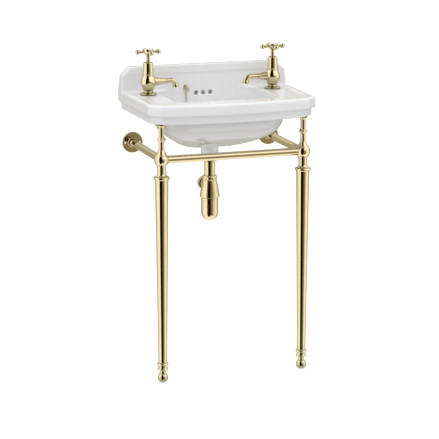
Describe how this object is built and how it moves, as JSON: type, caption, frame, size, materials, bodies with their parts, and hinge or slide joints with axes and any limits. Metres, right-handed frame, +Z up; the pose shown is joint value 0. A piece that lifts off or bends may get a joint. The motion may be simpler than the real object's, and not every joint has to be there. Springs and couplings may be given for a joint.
{
  "type": "console washbasin",
  "caption": "Small rectangular washbasin on turned front legs with towel rails, pillar taps with cross handles, plug on a chain and a bottle trap.",
  "frame": {"origin": "on the floor, under the middle of the basin's width and depth", "axes": "+Z up, -Y to the front, +Y to the wall, +X to the right seen from the front"},
  "size_m": [0.51, 0.3459, 0.9361],
  "materials": {
    "basin": "white vitreous china, glazed",
    "polished_gold": "mirror-polished pale gold plating",
    "bare_brass": "machined, unplated",
    "rubber": "matt black",
    "nylon": "natural nylon",
    "porcelain": "white porcelain, glazed"
  },
  "bodies": {
    "console": {"basin": "basin", "left_foot": "polished_gold", "left_leg_tube": "polished_gold", "left_corner_joint": "polished_gold", "left_upper_post": "polished_gold", "left_side_rail": "polished_gold", "left_rail_stem": "polished_gold", "left_wall_flange": "polished_gold", "left_basin_pad": "rubber", "right_foot": "polished_gold", "right_leg_tube": "polished_gold", "right_corner_joint": "polished_gold", "right_upper_post": "polished_gold", "right_side_rail": "polished_gold", "right_rail_stem": "polished_gold", "right_wall_flange": "polished_gold", "right_basin_pad": "rubber", "front_rail": "polished_gold", "hot_base_seal": "rubber", "hot_tap_body": "polished_gold", "hot_deck_washer": "nylon", "hot_backnut": "bare_brass", "hot_cartridge": "bare_brass", "hot_tap_cover": "polished_gold", "cold_base_seal": "rubber", "cold_tap_body": "polished_gold", "cold_deck_washer": "nylon", "cold_backnut": "bare_brass", "cold_cartridge": "bare_brass", "cold_tap_cover": "polished_gold", "waste_body": "polished_gold", "waste_seal": "rubber", "waste_washer": "rubber", "waste_nut": "polished_gold", "trap_pipe": "polished_gold", "trap_bell": "polished_gold", "trap_nut": "polished_gold", "trap_seal": "rubber", "trap_bottle": "polished_gold", "bottle_seal": "rubber", "outlet_nut": "polished_gold", "outlet_seal": "rubber", "chain_stay": "polished_gold", "stay_ring": "polished_gold", "plug_chain": "polished_gold"},
    "hot_handle_body": {"hot_handle": "polished_gold", "hot_index": "porcelain", "hot_spindle": "bare_brass", "hot_valve_disc": "porcelain"},
    "cold_handle_body": {"cold_handle": "polished_gold", "cold_index": "porcelain", "cold_spindle": "bare_brass", "cold_valve_disc": "porcelain"},
    "plug_body": {"plug_cap": "polished_gold", "plug_rubber": "rubber"}
  },
  "joints": [
    {"name": "hot_handle_turn", "type": "hinge", "parent": "console", "child": "hot_handle_body", "pos_m": [-0.19, 0.078, 0.926], "axis": [0, 0, 1], "range_deg": [0, 90]},
    {"name": "cold_handle_turn", "type": "hinge", "parent": "console", "child": "cold_handle_body", "pos_m": [0.19, 0.078, 0.926], "axis": [0, 0, 1], "range_deg": [-90, 0]},
    {"name": "plug_lift", "type": "slide", "parent": "console", "child": "plug_body", "axis": [0, 0, 1], "range_m": [0, 0.05], "deforming": ["plug_chain"]}
  ]
}
